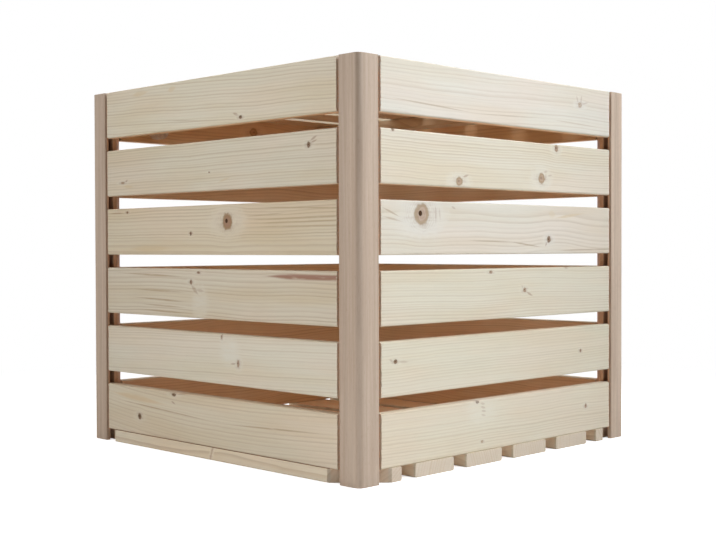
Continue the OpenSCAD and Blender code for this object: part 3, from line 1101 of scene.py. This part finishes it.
def make_board(scene, node, along, body, seed, tint, corner=0.0, under=None, bounce_shade_strength=1.0, screws=None):
    """Makes one board of the base or the lid, its show face up.

    This corner is sawn off where it meets a post, and the screws come in from below."""
    sizes = scene.crate_sizes
    place, size = board_place(node, along, Z)
    bm = block(size)
    round_long_edges(bm, size, sizes.edge_round, under)
    if corner:
        saw_corners(bm, place, cad_high.x, corner)
    break_ends(bm, sizes)
    board = board_cut(node, seed, size, tint)
    material = spruce(node, place, size, board, scene.crate_finish, bounce_shade_strength=bounce_shade_strength)
    piece = finish_piece(bm, "planed_" + node, place, material, body, node)
    if screws:
        sink_screws(piece, sizes, screw_spots(node, screws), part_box(node)[0].z)


class CRATE_OT_base_boards(Operator):
    """Makes the six boards of the base, the outer two cut round the posts"""

    bl_idname = "crate.base_boards"
    bl_label = "Base Boards"

    def execute(self, context):
        scene = context.scene
        for number in range(1, BOARDS + 1):
            corner = scene.crate_sizes.base_corner if number in (1, BOARDS) else 0.0
            make_board(
                scene, f"base_board_{number}", X, CRATE, 200 + number, BASE_PAINTED_LIGHT_TINT, corner,
                screws="base_screws")
        return {"FINISHED"}


class CRATE_OT_lid(Operator):
    """Makes the lid: six boards on two battens"""

    bl_idname = "crate.lid"
    bl_label = "Lid"

    def execute(self, context):
        scene = context.scene
        sizes = scene.crate_sizes
        for number in range(1, BOARDS + 1):
            corner = sizes.lid_corner if number in (1, BOARDS) else 0.0
            make_board(
                scene, f"lid_board_{number}", Y, LID, 300 + number, LID_TINT, corner, sizes.lid_arris,
                LID_BOUNCE_SHADE)
        for number, side in enumerate(("front", "back")):
            make_board(
                scene, side + "_lid_batten", X, LID, 320 + number, LID_TINT, bounce_shade_strength=LID_BOUNCE_SHADE,
                screws="lid_screws")
        return {"FINISHED"}


class CRATE_OT_lid_pegs(Operator):
    """Makes the four dowel pegs that carry the lid"""

    bl_idname = "crate.lid_pegs"
    bl_label = "Lid Pegs"

    def execute(self, context):
        sizes = context.scene.crate_sizes
        finish = context.scene.crate_finish
        for number, corner in enumerate(CORNERS):
            node = corner + "_lid_peg"
            inward = -X if "right" in corner else X
            place, size = board_place(node, inward, Z)
            bm = bmesh.new()
            lay_down = Matrix.Rotation(math.radians(90), 4, "Y")
            bmesh.ops.create_cone(
                bm, cap_ends=True, segments=48, radius1=size.y / 2, radius2=size.y / 2, depth=size.x,
                matrix=lay_down)
            rim = [edge for edge in bm.edges if min(vert.co.x for vert in edge.verts) > size.x / 2 - 0.1 * MM]
            bevel(bm, rim, sizes.peg_chamfer, segments=3)
            material = beech("beech_" + node, place, size * 2, 40.0 + number, finish.peg, finish)
            finish_piece(bm, "turned_" + node, place, material, CRATE, node)
        return {"FINISHED"}


class CRATE_OT_screws(Operator):
    """Gives the screws of the base and the lid their plating"""

    bl_idname = "crate.screws"
    bl_label = "Screws"

    def execute(self, context):
        plating = zinc_steel("yellow_zinc", context.scene.crate_finish)
        for node in ("base_screws", "lid_screws"):
            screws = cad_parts[node]
            for holder in screws.material_slots:
                holder.material = plating
        return {"FINISHED"}


class CRATE_OT_stage(Operator):
    """Sets the floor, the world, the lights and the camera"""

    bl_idname = "crate.stage"
    bl_label = "Stage"

    def execute(self, context):
        scene = context.scene
        stage = scene.crate_stage
        scene.view_settings.view_transform = "Standard"
        self.lay_floor(scene, stage)
        self.light_world(scene)
        self.hang_lights(scene)
        self.set_camera(scene, stage)
        return {"FINISHED"}

    def lay_floor(self, scene, stage):
        bm = bmesh.new()
        bmesh.ops.create_grid(bm, x_segments=1, y_segments=1, size=6.0)
        bmesh.ops.translate(bm, vec=(0, 0, -0.2 * MM), verts=bm.verts)
        mesh = bpy.data.meshes.new("floor")
        bm.to_mesh(mesh)
        bm.free()
        floor = bpy.data.objects.new("floor", mesh)
        scene.collection.objects.link(floor)
        material, nodes, shader = new_material("pale_floor")
        across = nodes.coordinate("Object")
        cloud = nodes.noise(across)
        colour = tuple(stage.floor_colour)
        duller = tuple(channel * 0.97 for channel in colour)
        nodes.feed(shader.inputs["Base Color"], nodes.mix(cloud, colour, duller))
        shader.inputs["Roughness"].default_value = 0.9
        shader.inputs["Specular IOR Level"].default_value = 0.1
        lift = nodes.node("ShaderNodeEmission", {"Color": (1, 1, 1, 1), "Strength": 0.7})
        lifted = nodes.node("ShaderNodeAddShader", {0: shader.outputs[0], 1: lift.outputs[0]})
        # Away from the crate and its shadow the camera sees plain white, as on the backdrop
        away = nodes.vector_math("LENGTH", across, output="Value")
        white = nodes.node("ShaderNodeEmission", {"Color": (1, 1, 1, 1), "Strength": 1.0})
        fading = nodes.node(
            "ShaderNodeMixShader",
            {0: away.step(0.4, 0.9), 1: lifted.outputs[0], 2: white.outputs[0]})
        chosen = nodes.node(
            "ShaderNodeMixShader", {0: camera_ray(nodes), 1: shader.outputs[0], 2: fading.outputs[0]})
        output = next(node for node in material.node_tree.nodes if node.type == "OUTPUT_MATERIAL")
        nodes.feed(output.inputs["Surface"], chosen.outputs[0])
        floor.data.materials.append(material)

    def light_world(self, scene):
        """A white backdrop behind the crate, as a studio has, and a dim room on the camera's side."""
        world = bpy.data.worlds.new("studio")
        scene.world = world
        world.use_nodes = True
        world.node_tree.nodes.clear()
        nodes = Nodes(world.node_tree)
        looking = nodes.coordinate("Generated")
        behind = nodes.vector_math("DOT_PRODUCT", looking, (-0.707, 0.707, 0.0), output="Value")
        dim, bright = 0.06, 1.05
        level = behind.step(-0.1, 0.7, dim, bright)
        fill = nodes.node("ShaderNodeBackground", {"Color": (1, 1, 1, 1), "Strength": level})
        white = nodes.node("ShaderNodeBackground", {"Color": (1, 1, 1, 1), "Strength": 1.0})
        chosen = nodes.node(
            "ShaderNodeMixShader", {0: camera_ray(nodes), 1: fill.outputs[0], 2: white.outputs[0]})
        output = nodes.node("ShaderNodeOutputWorld")
        nodes.feed(output.inputs["Surface"], chosen.outputs[0])

    def hang_lights(self, scene):
        """Softboxes: place, aim, width, watts, spread in degrees and colour."""
        for name, place, aim, size, power, spread, colour in (
            ("right_softbox", (1.23, 0.6, 1.3), (0.2, -0.2, 0.38), 0.7, 3.75, 60, (0.95, 1.01, 1.08)),
            ("left_softbox", (-0.57, -1.3, 0.6), (0.2, -0.2, 0.2), 0.6, 0.97, 60, (1.01, 0.995, 0.99)),
            ("top_softbox", (0.1, -0.42, 1.63), (0.0, 0.0, 0.36), 0.6, 6.4, 180, (1.0, 1.0, 1.0)),
        ):
            lamp = bpy.data.lights.new(name, "AREA")
            lamp.shape = "SQUARE"
            lamp.size = size
            lamp.energy = power
            lamp.spread = math.radians(spread)
            lamp.color = colour
            holder = bpy.data.objects.new(name, lamp)
            holder.location = place
            holder.rotation_euler = (Vector(aim) - Vector(place)).to_track_quat("-Z", "Y").to_euler()
            scene.collection.objects.link(holder)

    def set_camera(self, scene, stage):
        camera = bpy.data.cameras.new("camera")
        camera.sensor_fit = "HORIZONTAL"
        camera.sensor_width = 36.0
        camera.lens = stage.lens
        camera.clip_start = 0.01
        camera.clip_end = 50.0
        holder = bpy.data.objects.new("camera", camera)
        turn = (
            Matrix.Rotation(stage.heading, 4, "Z")
            @ Matrix.Rotation(math.radians(90) - stage.pitch, 4, "X")
            @ Matrix.Rotation(-stage.roll, 4, "Z")
        )
        holder.matrix_world = Matrix.Translation(stage.camera_place) @ turn
        scene.collection.objects.link(holder)
        scene.camera = holder


def camera_ray(nodes):
    """1 for what the camera sees directly."""
    return nodes.node("ShaderNodeLightPath").outputs["Is Camera Ray"]


STEPS = (
    CRATE_OT_stage,
    CRATE_OT_corner_posts,
    CRATE_OT_side_slats,
    CRATE_OT_base_boards,
    CRATE_OT_lid,
    CRATE_OT_lid_pegs,
    CRATE_OT_screws,
)


class CRATE_PT_workshop(Panel):
    """Lists the crate's sizes, colours and pieces"""

    bl_idname = "CRATE_PT_workshop"
    bl_label = "Slatted Crate"
    bl_space_type = "VIEW_3D"
    bl_region_type = "UI"
    bl_category = "Crate"

    def draw(self, context):
        layout = self.layout
        for group in (context.scene.crate_sizes, context.scene.crate_finish, context.scene.crate_stage):
            box = layout.box()
            for name in group.__annotations__:
                box.prop(group, name)
        for step in STEPS:
            layout.operator(step.bl_idname)


SETTINGS = {"crate_sizes": CrateSizes, "crate_finish": CrateFinish, "crate_stage": CrateStage}


def register():
    for kind in (*SETTINGS.values(), *STEPS, CRATE_PT_workshop):
        bpy.utils.register_class(kind)
    for name, kind in SETTINGS.items():
        setattr(bpy.types.Scene, name, PointerProperty(type=kind))


def unregister():
    for name in SETTINGS:
        delattr(bpy.types.Scene, name)
    for kind in reversed((*SETTINGS.values(), *STEPS, CRATE_PT_workshop)):
        bpy.utils.unregister_class(kind)


def main():
    register()
    bpy.ops.crate.stage()
    bpy.ops.crate.corner_posts()
    bpy.ops.crate.side_slats()
    bpy.ops.crate.base_boards()
    bpy.ops.crate.lid()
    bpy.ops.crate.lid_pegs()
    bpy.ops.crate.screws()


if __name__ == "__main__":
    main()
